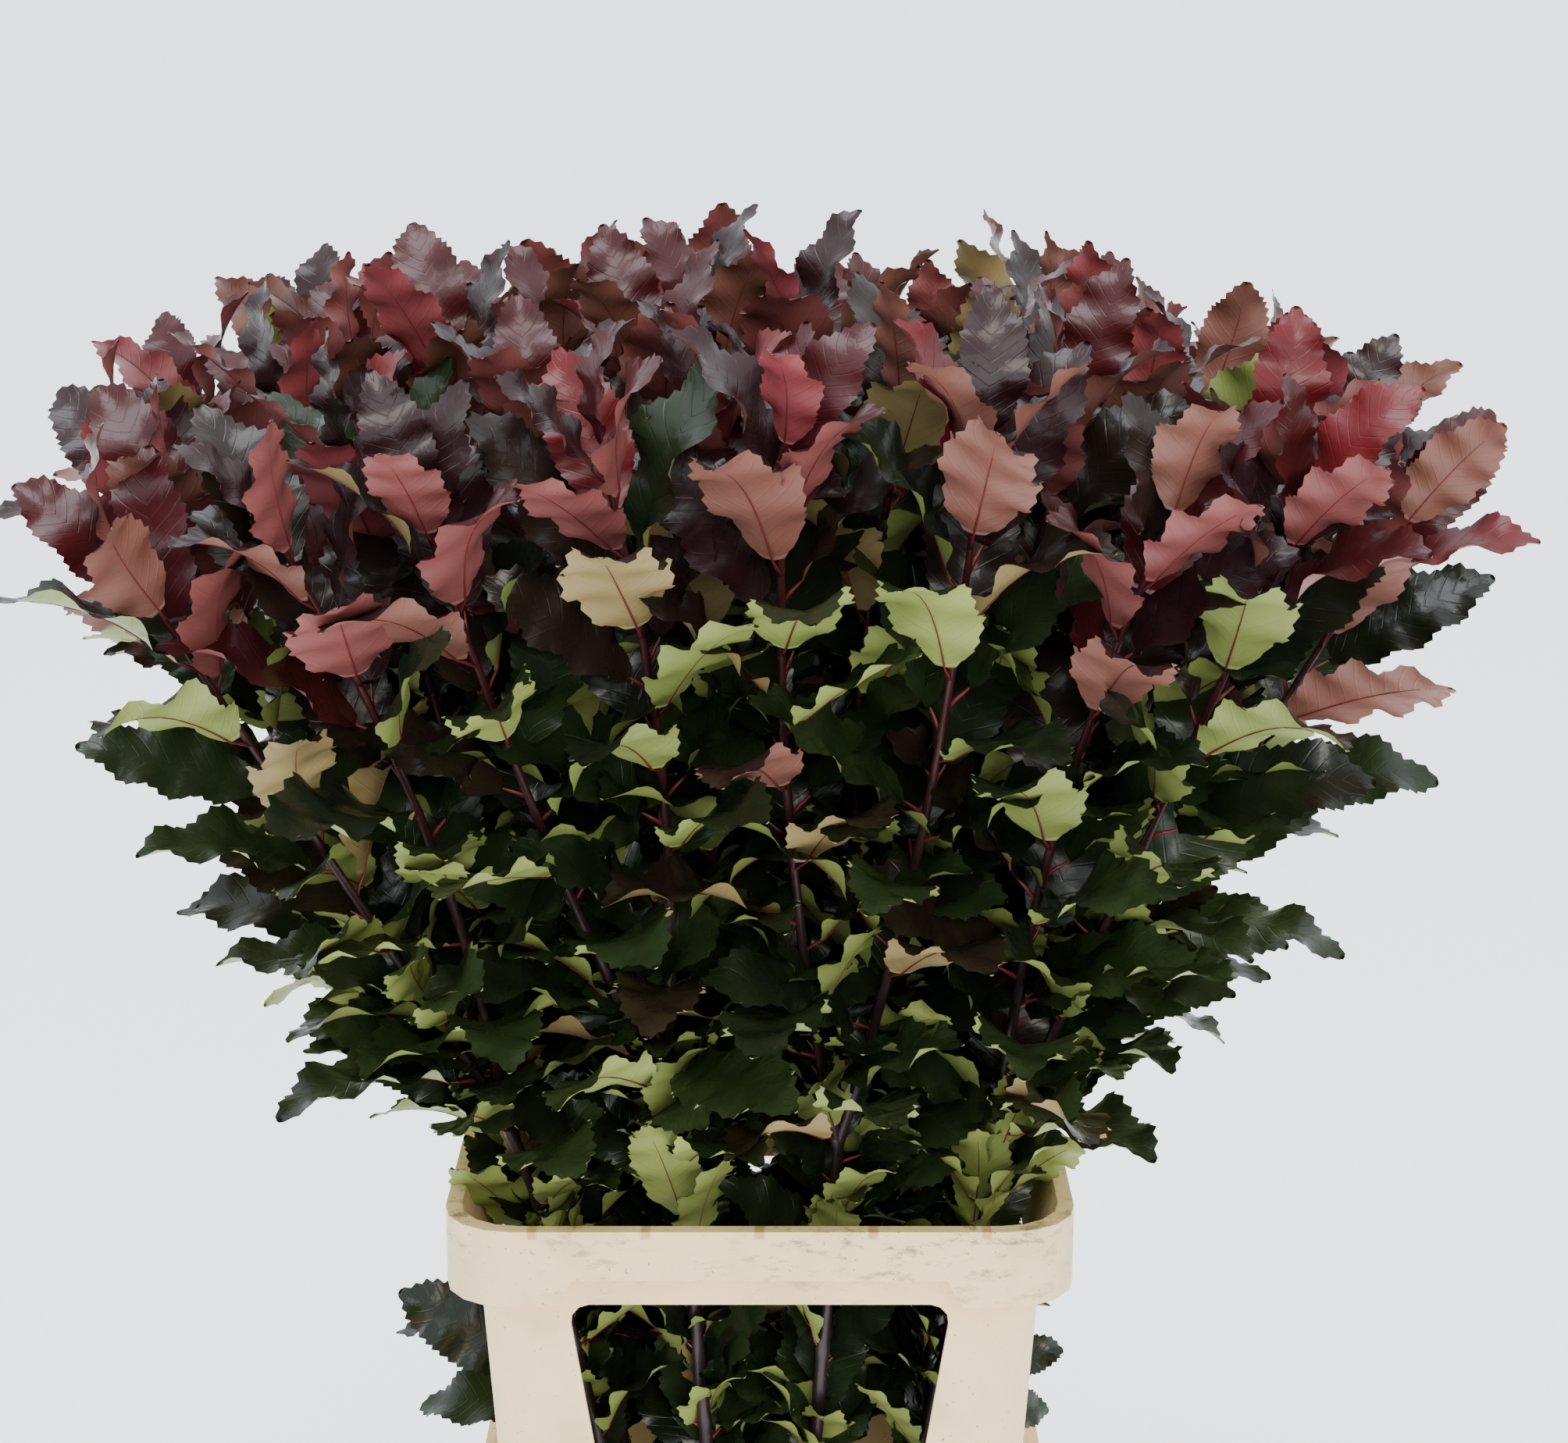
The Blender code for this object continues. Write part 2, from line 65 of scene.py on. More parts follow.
bl_info = {
    "name": "Photinia bucket dresser",
    "version": (1, 0, 0),
    "blender": (4, 5, 0),
    "location": "View3D > Sidebar > Photinia",
    "description": "Stems, leaves, moulded bucket and studio for the photinia bucket",
    "category": "Object",
}

# The plan of the stems, as in the solids
SEED = 7
ROWS = 6
STEMS_IN_ROW = 4
SHOOTS = 2
ROW_STAGGER = 0.25
RING_TOP = 0.480
CORNER_ROUNDING = 0.42
FOOT_SHARE = 0.36
FLOOR_GAP = 0.0033
RIM_HALF_X = 0.138
RIM_HALF_Y = 0.078
CROWN_HALF_X = 0.326
CROWN_HALF_Y = 0.220
STEM_BEND = 1.3
SHOOT_BEND = 0.25
MOST_SPREAD = 1.2
FORK_LOW = 0.502
FORK_HIGH = 0.590
TIP_HEIGHT = 0.915
TIP_FALL_X = 0.062
TIP_FALL_Y = 0.022
TIP_SCATTER = 0.012
TIP_SCATTER_Z = 0.018

# Stems and shoots: sizes, and the relief of their bark as shares of the radius
STEM_BASE_RADIUS = 0.0046
FORK_RADIUS = 0.0032
TIP_RADIUS = 0.0015
CANE_SIDES = 10
SHOOT_SIDES = 8
CANE_PAST_FORK = 0.010
SHOOT_BEFORE_FORK = 0.006
LIMB_STEP = 0.006
NODE_SPACING = 0.022
NODE_SWELLING = 0.22
NODE_WIDTH = 0.09
BARK_RELIEF = 0.09
BARK_AROUND = 9
BARK_ALONG = 55
BARK_APART = 30
ROUNDED_END = 0.5

# How the leaves stand on their shoots
GOLDEN_ANGLE = math.radians(137.5)
FIRST_LEAF = RING_TOP + 0.016
FORK_CLEARANCE = 0.006
TIP_GAP = 0.003
LEAF_SPAN = 0.405
LEAF_CROWDING = 1.12
TOP_LEAF = 0.082
FULL_LEAF = 0.116
FULL_AT = 0.16
TOP_SPREAD = math.radians(16)
LOW_SPREAD = math.radians(64)
SPREAD_POWER = 0.55
SPREAD_RANGE = (0.82, 1.18)
LENGTH_RANGE = (0.9, 1.1)
TURN_SCATTER = 0.3
ROLL = 0.35
STEEPER = 0.55
SHOOT_AGEING = (-0.09, 0.07)
AGE_SCATTER = 0.05

# Leaves below the forks: lengths, spreads in degrees, roll, and how far down in age
LOW_TRIES = 16
LOW_ROLL = 0.5
LOW_AGE = (0.5, 1.0)
RING_LEAVES = 9
RING_LOW = 0.470
RING_HIGH = 0.600
RING_LEAF_LENGTH = (0.082, 0.104)
RING_LEAF_SPREAD = (16, 54)
INNER_LEAVES = 20
INNER_LOW = 0.285
INNER_HIGH = 0.470
INNER_LEAF_LENGTH = (0.070, 0.098)
INNER_LEAF_SPREAD = (16, 64)

# The space inside the collar, and above RING_BOTTOM inside its ring
COLLAR_HALF_X = 0.131
COLLAR_HALF_Y = 0.091
RING_HALF_X = 0.156
RING_HALF_Y = 0.114
RING_BOTTOM = 0.450
RING_CLEARANCE = 0.006
CLEAR_STEPS = 6
SAG = 0.12

# Leaves in the side windows: side, the root's y and z, lift and roll in degrees, length
SIDE_ROOT_X = 0.112
SIDE_SWING = 0.25
SIDE_LEAVES = (
    (-1, -0.014, 0.345, 24, 55, 0.108),
    (-1, 0.014, 0.352, 6, -25, 0.100),
    (-1, -0.002, 0.322, -4, 40, 0.092),
    (1, -0.014, 0.345, 16, 45, 0.064),
    (1, 0.014, 0.352, 30, -20, 0.062),
    (1, -0.002, 0.322, -10, 60, 0.060),
)

# One leaf, as shares of its own length. It has five points across, from margin to margin
SHAPES = 6
STATIONS = 34
ACROSS = (-1, -0.5, 0, 0.5, 1)
STALK = 0.13
HALF_WIDTH = 0.215
LEAST_WIDTH = 0.010
FOLDED_WIDTH = 0.96
THICKNESS = 0.005
TOOTH = 0.014
NOTCH = -0.35
TOOTH_LEAN = 0.014
FIRST_LIFT = 0.30
BEND_POWER = 1.4
MARGIN_ANGLE = math.radians(135)
# Ranges that each shape draws from: bend and twist in degrees, fold, waves and their height
BEND = (18, 62)
TWIST = (-22, 22)
FOLD = (0.10, 0.30)
WAVES = (2.6, 3.8)
WAVE_HEIGHT = (0.024, 0.046)
# The stalk's two ends and their radii, and the midrib that carries it on under the blade
STALK_FOOT = ((0, -0.02, -0.004), 0.0125)
STALK_NECK = ((0, 0.55 * STALK, -0.002), 0.0095)
RIB_STATIONS = 6
RIB_REACH = 0.8
RIB_DEPTH = THICKNESS + 0.0005
RIB_RADIUS = 0.0052
RIB_TAPER = 0.0040
# Side veins of a leaf, how far they lean to the tip, and their depth in metres
VEINS = 12
VEIN_LEAN = -0.16
VEIN_DEPTH = 0.00032

# From the youngest leaves to the oldest: upper side, lower side and how rough the upper side is
TONES = (
    # The scarlet tone is the young leaves' own red, its upper side made brighter as painted light shining
    # through the leaf
    ("scarlet_and_painted_backlight", "5E1418", "833B3E", 0.31),
    ("wine", "3E1315", "78413E", 0.27),
    ("maroon", "281416", "744A3E", 0.24),
    ("bronze", "231A14", "84734A", 0.23),
    ("dark_green", "1E2B16", "838F4A", 0.23),
    ("black_green", "161E12", "778344", 0.22),
)
FIRST_GREEN = 4
UNDERSIDE_ROUGHNESS = 0.46
# Shares of those tones at each share of the way down a shoot
TONE_STAGES = (
    (0.00, (0.17, 0.41, 0.40, 0.02, 0.00, 0.00)),
    (0.15, (0.09, 0.33, 0.44, 0.10, 0.03, 0.01)),
    (0.30, (0.00, 0.06, 0.26, 0.28, 0.22, 0.18)),
    (0.44, (0.00, 0.00, 0.02, 0.08, 0.48, 0.42)),
    (1.00, (0.00, 0.00, 0.01, 0.04, 0.55, 0.40)),
)

# The moulded pieces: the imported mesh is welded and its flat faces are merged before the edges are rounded
WELD = 0.00002
FLAT_ANGLE = math.radians(0.6)
EDGE_ANGLE = math.radians(40)

# The studio and the photograph's camera
FLOOR_REACH = 400.0
FLOOR_SIDES = 96
FLOOR_COLOUR = "E4E6E9"
FLOOR_GLOW = 1.75
WORLD_COLOUR = "E9EDF2"
WORLD_STRENGTH = 1.50
LIGHT_AIM = (0, 0, 0.7)
CAMERA_PLACE = (0.013, -1.727, 1.150)
CAMERA_PITCH = math.radians(13.8)
CAMERA_LENS = 74.7
CAMERA_SENSOR = 36


def srgb(code):
    """An sRGB hex value as linear red, green, blue and alpha."""
    channels = [int(code[i : i + 2], 16) / 255 for i in (0, 2, 4)]
    return (*(c / 12.92 if c <= 0.04045 else ((c + 0.055) / 1.055) ** 2.4 for c in channels), 1.0)


class ContainerSettings(bpy.types.PropertyGroup):
    edge: FloatProperty(
        name="Edge", description="Rounding of the moulded edges", default=0.0007, unit="LENGTH",
    )
    plastic: FloatVectorProperty(
        name="Plastic", description="Cream of the clean plastic", subtype="COLOR",
        default=srgb("FADAA4")[:3],
    )


class LeafSettings(bpy.types.PropertyGroup):
    leaves: IntProperty(name="Leaves", description="Leaves on each shoot", default=28, min=4)
    size: FloatProperty(name="Size", description="Scale of every leaf", default=1.0)


def add(tree, kind, links=(), **settings):
    """Adds a node. A link is (input, source node, output), and in_NAME sets the input of that name."""
    made = tree.nodes.new(kind)
    for key, value in settings.items():
        if key.startswith("in_"):
            name = key[3:]
            made.inputs[int(name) if name.isdigit() else name.replace("_", " ")].default_value = value
        else:
            setattr(made, key, value)
    for socket, source, output in links:
        tree.links.new(source.outputs[output], made.inputs[socket])
    return made


def shader_of(name):
    """A new material with its tree and its Principled shader."""
    made = bpy.data.materials.new(name)
    made.use_nodes = True
    return made, made.node_tree, made.node_tree.nodes["Principled BSDF"]


def ramp(tree, source, output, low, high):
    """0 at low, 1 at high, straight between and level past them. low may be the greater."""
    return add(
        tree, "ShaderNodeMapRange", [("Value", source, output)], in_From_Min=low, in_From_Max=high,
    )


def tinted(tree, base, mask, mask_output, colour):
    """The base colour turned to another where the mask is 1. base is (node, output) or a colour."""
    made = add(tree, "ShaderNodeMix", [(0, mask, mask_output)], data_type="RGBA")
    if isinstance(base[0], float):
        made.inputs[6].default_value = base
    else:
        tree.links.new(base[0].outputs[base[1]], made.inputs[6])
    made.inputs[7].default_value = colour
    return made


def scaled(tree, source, output, factor):
    """A value times a factor."""
    return add(tree, "ShaderNodeMath", [(0, source, output)], operation="MULTIPLY", in_1=factor)


def overlap(tree, first, second):
    """Two masks multiplied, each given as (node, output)."""
    return add(tree, "ShaderNodeMath", [(0, *first), (1, *second)], operation="MULTIPLY")


def handled_colour(tree, place, cloud, scuff, colour):
    """The clean plastic's colour under dirt, scuffs, soil and the marks on the lip."""
    # Old dirt lies in clouds of about 60 mm
    dirt = scaled(tree, ramp(tree, cloud, "Fac", 0.48, 0.74), "Result", 0.70)
    base = tinted(tree, (*colour, 1.0), dirt, "Value", srgb("CDB288"))
    # Scuffs in patches of about 90 mm along the band, where the containers are gripped
    parts = add(tree, "ShaderNodeSeparateXYZ", [("Vector", place, "Object")])
    band = ramp(tree, parts, "Z", RING_TOP - 0.060, RING_TOP - 0.012)
    patch = add(tree, "ShaderNodeTexNoise", [("Vector", place, "Object")], in_Scale=11.0, in_Detail=3.0)
    patches = ramp(tree, patch, "Fac", 0.38, 0.54)
    where = overlap(tree, (band, "Result"), (patches, "Result"))
    worn = overlap(tree, (ramp(tree, scuff, "Fac", 0.53, 0.64), "Result"), (where, "Value"))
    base = tinted(tree, (base, 2), scaled(tree, worn, "Value", 0.85), "Value", srgb("7E6A50"))
    # Specks of soil of 1 to 2 mm
    speck = add(tree, "ShaderNodeTexNoise", [("Vector", place, "Object")], in_Scale=420.0, in_Detail=2.0)
    specks = scaled(tree, ramp(tree, speck, "Fac", 0.705, 0.745), "Result", 0.75)
    base = tinted(tree, (base, 2), specks, "Value", srgb("5A4632"))
    # Orange-brown marks on the lip, 60 mm apart, where the mould's ribs end
    step = add(tree, "ShaderNodeMath", [(0, parts, "X")], operation="PINGPONG", in_1=0.030)
    mark = ramp(tree, step, "Value", 0.0034, 0.0018)
    lip = ramp(tree, parts, "Z", RING_TOP - 0.0045, RING_TOP - 0.0035)
    marked = scaled(tree, overlap(tree, (mark, "Result"), (lip, "Result")), "Value", 0.6)
    return tinted(tree, (base, 2), marked, "Value", srgb("A9763F"))


def moulded_polypropylene(colour):
    """Polypropylene, injection moulded: satin cream, rubbed grey-brown and dusty where it is handled."""
    made, tree, shader = shader_of("moulded_polypropylene")
    place = add(tree, "ShaderNodeTexCoord")
    cloud = add(tree, "ShaderNodeTexNoise", [("Vector", place, "Object")], in_Scale=17.0, in_Detail=6.0)
    # Scuffs about 16 mm long and 6 mm high, broken up by finer grain
    along = add(tree, "ShaderNodeMapping", [("Vector", place, "Object")], in_Scale=(1.0, 1.0, 2.6))
    scuff = add(
        tree, "ShaderNodeTexNoise", [("Vector", along, "Vector")], in_Scale=62.0, in_Detail=10.0,
        in_Roughness=0.72,
    )
    base = handled_colour(tree, place, cloud, scuff, colour)
    tree.links.new(base.outputs[2], shader.inputs["Base Color"])
    rough = add(tree, "ShaderNodeMapRange", [("Value", cloud, "Fac")], in_To_Min=0.36, in_To_Max=0.62)
    tree.links.new(rough.outputs["Result"], shader.inputs["Roughness"])
    # A moulded skin in waves of about 4 mm, and the scuffs as shallow scratches
    skin = add(tree, "ShaderNodeTexNoise", [("Vector", place, "Object")], in_Scale=260.0, in_Detail=3.0)
    bump = add(tree, "ShaderNodeBump", [("Height", skin, "Fac")], in_Strength=0.12, in_Distance=0.0006)
    bump = add(
        tree, "ShaderNodeBump", [("Height", scuff, "Fac"), ("Normal", bump, "Normal")],
        in_Strength=0.18, in_Distance=0.0008,
    )
    tree.links.new(bump.outputs["Normal"], shader.inputs["Normal"])
    shader.inputs["IOR"].default_value = 1.49
    shader.inputs["Subsurface Weight"].default_value = 0.08
    shader.inputs["Subsurface Radius"].default_value = (0.006, 0.004, 0.002)
    return made


def young_bark():
    """Young photinia bark: smooth purple-brown skin with a dull gloss, lengthwise grain and pale pores."""
    made, tree, shader = shader_of("young_bark")
    place = add(tree, "ShaderNodeTexCoord")
    # The bark reddens towards the tips
    high = add(tree, "ShaderNodeSeparateXYZ", [("Vector", place, "Object")])
    red = ramp(tree, high, "Z", 0.62, 0.92)
    base = tinted(tree, srgb("251718"), red, "Result", srgb("4B181D"))
    # Pores of 1 to 2 mm
    pores = add(tree, "ShaderNodeTexNoise", [("Vector", place, "Object")], in_Scale=500.0, in_Detail=2.0)
    pored = scaled(tree, ramp(tree, pores, "Fac", 0.66, 0.72), "Result", 0.45)
    base = tinted(tree, (base, 2), pored, "Value", srgb("644F43"))
    tree.links.new(base.outputs[2], shader.inputs["Base Color"])
    # Grain about 1 mm wide and 9 mm long
    grain = add(tree, "ShaderNodeMapping", [("Vector", place, "Object")], in_Scale=(1.0, 1.0, 0.12))
    lines = add(tree, "ShaderNodeTexNoise", [("Vector", grain, "Vector")], in_Scale=900.0, in_Detail=4.0)
    bump = add(tree, "ShaderNodeBump", [("Height", lines, "Fac")], in_Strength=0.4, in_Distance=0.0004)
    tree.links.new(bump.outputs["Normal"], shader.inputs["Normal"])
    shader.inputs["Roughness"].default_value = 0.42
    return made


def leaf_skin(name, code, rough, upper):
    """One side of a leaf: waxed and glossy over fine veins above, matt below."""
    made, tree, shader = shader_of(name)
    shader.inputs["Base Color"].default_value = srgb(code)
    blade = add(tree, "ShaderNodeUVMap", uv_map="UVMap")
    place = add(tree, "ShaderNodeTexCoord")
    # Side veins lean towards the tip. They are grooves above and ridges below
    parts = add(tree, "ShaderNodeSeparateXYZ", [("Vector", blade, "UV")])
    across = add(tree, "ShaderNodeMath", [(0, parts, "Y")], operation="ABSOLUTE")
    lean = add(
        tree, "ShaderNodeMath", [(0, across, "Value"), (2, parts, "X")], operation="MULTIPLY_ADD",
        in_1=VEIN_LEAN,
    )
    phase = scaled(tree, lean, "Value", VEINS * 2 * math.pi)
    vein = add(tree, "ShaderNodeMath", [(0, phase, "Value")], operation="COSINE")
    sharp = ramp(tree, vein, "Value", 0.86, 1.0)
    bump = add(
        tree, "ShaderNodeBump", [("Height", sharp, "Result")], in_Strength=0.35,
        in_Distance=-VEIN_DEPTH if upper else VEIN_DEPTH,
    )
    # The blade is quilted in swellings of about 5 mm between the veins
    quilt = add(tree, "ShaderNodeTexNoise", [("Vector", place, "Object")], in_Scale=210.0, in_Detail=4.0)
    bump = add(
        tree, "ShaderNodeBump", [("Height", quilt, "Fac"), ("Normal", bump, "Normal")],
        in_Strength=0.30, in_Distance=0.0009,
    )
    tree.links.new(bump.outputs["Normal"], shader.inputs["Normal"])
    # Wax lies unevenly, in patches of about 18 mm
    wax = add(tree, "ShaderNodeTexNoise", [("Vector", place, "Object")], in_Scale=55.0, in_Detail=2.0)
    uneven = add(
        tree, "ShaderNodeMapRange", [("Value", wax, "Fac")], in_To_Min=rough - 0.06,
        in_To_Max=rough + 0.12,
    )
    tree.links.new(uneven.outputs["Result"], shader.inputs["Roughness"])
    shader.inputs["IOR"].default_value = 1.45
    return made


def leaf_stalk():
    """Leaf stalks and midribs: fresh, smooth and wine red, paler in patches of about 25 mm."""
    made, tree, shader = shader_of("leaf_stalk")
    place = add(tree, "ShaderNodeTexCoord")
    patch = add(tree, "ShaderNodeTexNoise", [("Vector", place, "Object")], in_Scale=40.0)
    base = tinted(tree, srgb("651923"), patch, "Fac", srgb("7E3634"))
    tree.links.new(base.outputs[2], shader.inputs["Base Color"])
    shader.inputs["Roughness"].default_value = 0.35
    return made


def mesh_piece(name, points, faces, smooth=True):
    """An object in the scene with a mesh of these points and faces."""
    mesh = bpy.data.meshes.new(name)
    mesh.from_pydata([tuple(p) for p in points], [], faces)
    mesh.validate()
    if smooth:
        mesh.shade_smooth()
    made = bpy.data.objects.new(name, mesh)
    bpy.context.scene.collection.objects.link(made)
    return made


def rounded_square(u, v):
    """Draws a point of the square from -1 to 1 in towards a square with rounded corners."""
    return (
        u * math.sqrt(1 - CORNER_ROUNDING * v * v / 2),
        v * math.sqrt(1 - CORNER_ROUNDING * u * u / 2),
    )


def plan_stems():
    """For each stem, its row, where it passes the ring, its fork's height and its two tips."""
    rule = random.Random(SEED)
    places = STEMS_IN_ROW * SHOOTS - 1
    stems = []
    for row in range(ROWS):
        v = 2 * row / (ROWS - 1) - 1
        stagger = ROW_STAGGER * (1 if row % 2 else -1)
        for column in range(STEMS_IN_ROW):
            middle = (2 * column + 1 - STEMS_IN_ROW) / (STEMS_IN_ROW - 1)
            u_rim, v_rim = rounded_square(middle, v)
            rim = Vector((u_rim * RIM_HALF_X, v_rim * RIM_HALF_Y))
            fork = rule.uniform(FORK_LOW, FORK_HIGH)
            tips = []
            for shoot in range(SHOOTS):
                u = (2 * (SHOOTS * column + shoot + stagger) - places) / places
                u_tip, v_tip = rounded_square(max(-1, min(1, u)), v)
                fall = TIP_FALL_X * u_tip**4 + TIP_FALL_Y * v_tip**2
                tips.append(
                    Vector((
                        u_tip * CROWN_HALF_X + rule.uniform(-1, 1) * TIP_SCATTER,
                        v_tip * CROWN_HALF_Y + rule.uniform(-1, 1) * TIP_SCATTER,
                        TIP_HEIGHT - fall + rule.uniform(-1, 1) * TIP_SCATTER_Z,
                    ))
                )
            stems.append({"row": row, "rim": rim, "fork": fork, "tips": tips})
    return stems


def stem_place(stem, height, shoot=None):
    """Where a stem's centreline is at this height, along one of its shoots above the fork."""
    rim = stem["rim"]
    if height <= RING_TOP:
        share = max(0.0, height / RING_TOP) ** STEM_BEND
        place = rim * (FOOT_SHARE + (1 - FOOT_SHARE) * share)
        return Vector((place.x, place.y, height))
    tips = stem["tips"]
    middle = (tips[0] + tips[1]) / 2
    own = middle if shoot is None else tips[shoot]
    rise = (height - RING_TOP) / (own.z - RING_TOP)
    bent = (1 - SHOOT_BEND) * rise + SHOOT_BEND * rise * rise
    place = rim.lerp(middle.xy, bent)
    if shoot is not None and height > stem["fork"]:
        parted = (height - stem["fork"]) / (own.z - stem["fork"])
        spread = 1 - (1 - parted) ** 2 if parted < 1 else 2 * parted - 1
        place = place + (own.xy - middle.xy) * min(spread, MOST_SPREAD)
    return Vector((place.x, place.y, height))


def way_at(stem, height, shoot=None):
    """The direction in which a stem grows at this height."""
    step = 0.004
    return (stem_place(stem, height + step, shoot) - stem_place(stem, height - step, shoot)).normalized()


def bark_limb(stem, shoot, low, high, start, end, sides):
    """Points and faces of one limb, with slightly uneven bark and a swelling at each leaf's node."""
    count = max(2, round((high - low) / LIMB_STEP))
    points = []
    for ring in range(count + 1):
        share = ring / count
        height = low + (high - low) * share
        middle = stem_place(stem, height, shoot)
        way = way_at(stem, height, shoot)
        side = way.orthogonal().normalized()
        other = way.cross(side)
        from_node = (height / NODE_SPACING) % 1 - 0.5
        radius = start + (end - start) * share
        radius *= 1 + NODE_SWELLING * math.exp(-(from_node / NODE_WIDTH) ** 2)
        if ring == count:
            radius *= ROUNDED_END
        for k in range(sides):
            angle = 2 * math.pi * k / sides
            out = math.cos(angle) * side + math.sin(angle) * other
            place = Vector((BARK_AROUND * out.x, BARK_AROUND * out.y, BARK_ALONG * height))
            rough = noise.noise(place + middle * BARK_APART)
            points.append(middle + out * radius * (1 + BARK_RELIEF * rough))
    faces = [tuple(reversed(range(sides))), tuple(range(count * sides, (count + 1) * sides))]
    for ring in range(count):
        for k in range(sides):
            j = (k + 1) % sides
            a = ring * sides
            faces.append((a + k, a + j, a + sides + j, a + sides + k))
    return points, faces


def joined(parts):
    """Several sets of points and faces as one."""
    points, faces = [], []
    for more, around in parts:
        base = len(points)
        points += more
        faces += [tuple(base + i for i in face) for face in around]
    return points, faces


def blade_half_width(along):
    """Half the blade's width at a share of its length: oblong, with a drawn-out point."""
    # The powers fill out the middle of the blade, and the point begins at 0.86 of its length
    body = math.sin(math.pi * min(1.0, 0.03 + 0.97 * along) ** 0.92) ** 0.72
    point = 1 - 0.35 * max(0.0, (along - 0.86) / 0.14) ** 1.5
    return max(LEAST_WIDTH, HALF_WIDTH * body * point)


def blade_upper(kind):
    """The upper side's points and UV, station by station, and each station's middle with its up."""
    rule = random.Random(SEED * 100 + kind)
    bend = math.radians(rule.uniform(*BEND))
    fold = rule.uniform(*FOLD)
    waves = rule.uniform(*WAVES)
    wave = rule.uniform(*WAVE_HEIGHT)
    phases = (rule.uniform(0, 2 * math.pi), rule.uniform(0, 2 * math.pi))
    twist = math.radians(rule.uniform(*TWIST))
    points, coords, middles = [], [], []
    centre = Vector((0, STALK, 0))
    for station in range(STATIONS + 1):
        along = station / STATIONS
        slope = FIRST_LIFT * bend - bend * along**BEND_POWER
        forward = Vector((0, math.cos(slope), math.sin(slope)))
        turned = Matrix.Rotation(twist * along, 3, forward)
        side = turned @ Vector((1, 0, 0))
        up = turned @ Vector((0, -math.sin(slope), math.cos(slope)))
        middles.append((centre.copy(), up.copy()))
        half = blade_half_width(along)
        toothed = station % 2
        tooth = TOOTH * (1 if toothed else NOTCH) * min(1, 6 * along, 8 * (1 - along))
        for share in ACROSS:
            at_margin = abs(share) == 1
            reach = abs(share) * (half + (tooth if at_margin else 0))
            ripple = wave * share * share * math.sin(2 * math.pi * waves * along + phases[share > 0])
            ripple *= min(1, 5 * along, 6 * (1 - along))
            rise = fold * reach + ripple
            out = math.copysign(reach, share) if share else 0
            lean = forward * (TOOTH_LEAN if at_margin and toothed else 0)
            points.append(centre + side * out * FOLDED_WIDTH + up * rise + lean)
            coords.append((along, share))
        centre = centre + forward * (1 - STALK) / STATIONS
    return points, coords, middles


def blade_lower(points, middles):
    """The lower side's three inner points and their UV at each station. Both sides share their margins."""
    lower, coords = [], []
    for station, (_, up) in enumerate(middles):
        # The foot is thinner, to meet the stalk
        thick = THICKNESS * min(1, 0.4 + 4 * station / STATIONS)
        for k in (1, 2, 3):
            lower.append(points[station * 5 + k] - up * thick)
            coords.append((station / STATIONS, (k - 2) / 2))
    return lower, coords


def blade_faces():
    """The faces of both sides, closed at both ends, and 0 for each upper or 1 for each lower face."""
    first_lower = 5 * (STATIONS + 1)

    def under(station, k):
        return station * 5 + k if k in (0, 4) else first_lower + station * 3 + k - 1

    faces, sides = [], []
    for station in range(STATIONS):
        after = station + 1
        for k in range(4):
            a = station * 5 + k
            faces.append((a, a + 1, a + 6, a + 5))
            faces.append((under(station, k), under(after, k), under(after, k + 1), under(station, k + 1)))
            sides += [0, 1]
    for station, order in ((0, 1), (STATIONS, -1)):
        loop = [under(station, k) for k in range(4, 0, -1)] + [station * 5 + k for k in range(4)]
        faces.append(tuple(loop[::order]))
        sides.append(1)
    return faces, sides


def stalk_and_midrib(middles, base):
    """Points and faces of the three-sided stalk and midrib, whose points are numbered from base."""
    steps = [(Vector(place), radius) for place, radius in (STALK_FOOT, STALK_NECK)]
    for step in range(RIB_STATIONS + 1):
        place, up = middles[round(step / RIB_STATIONS * RIB_REACH * STATIONS)]
        steps.append((place - up * RIB_DEPTH, RIB_RADIUS - RIB_TAPER * step / RIB_STATIONS))
    points = []
    for place, radius in steps:
        for k in range(3):
            angle = 2 * math.pi * k / 3 + math.pi / 2
            points.append(place + radius * Vector((math.cos(angle), 0, math.sin(angle))))
    faces = []
    for step in range(len(steps) - 1):
        a = base + 3 * step
        for k in range(3):
            j = (k + 1) % 3
            faces.append((a + k, a + 3 + k, a + 3 + j, a + j))
    end = base + len(points)
    faces += [(base, base + 1, base + 2), (end - 1, end - 2, end - 3)]
    return points, faces


def leaf_shape(name, kind, upper, lower):
    """One leaf of length 1 along +Y from its stalk's foot, its upper side towards +Z."""
    points, coords, middles = blade_upper(kind)
    more_points, more_coords = blade_lower(points, middles)
    points += more_points
    coords += more_coords
    faces, materials = blade_faces()
    blade = len(faces)
    more_points, more_faces = stalk_and_midrib(middles, len(points))
    points += more_points
    coords += [(0, 0)] * len(more_points)
    faces += more_faces
    materials += [0] * len(more_faces)
    made = mesh_piece(name, points, faces)
    mesh = made.data
    mesh.materials.append(upper)
    mesh.materials.append(lower)
    mesh.polygons.foreach_set("material_index", materials)
    mesh.set_sharp_from_angle(angle=MARGIN_ANGLE)
    layer = mesh.uv_layers.new(name="UVMap")
    for loop in mesh.loops:
        layer.data[loop.index].uv = coords[loop.vertex_index]
    flags = mesh.attributes.new("stalk", "BOOLEAN", "FACE")
    flags.data.foreach_set("value", [index >= blade for index in range(len(faces))])
    return made


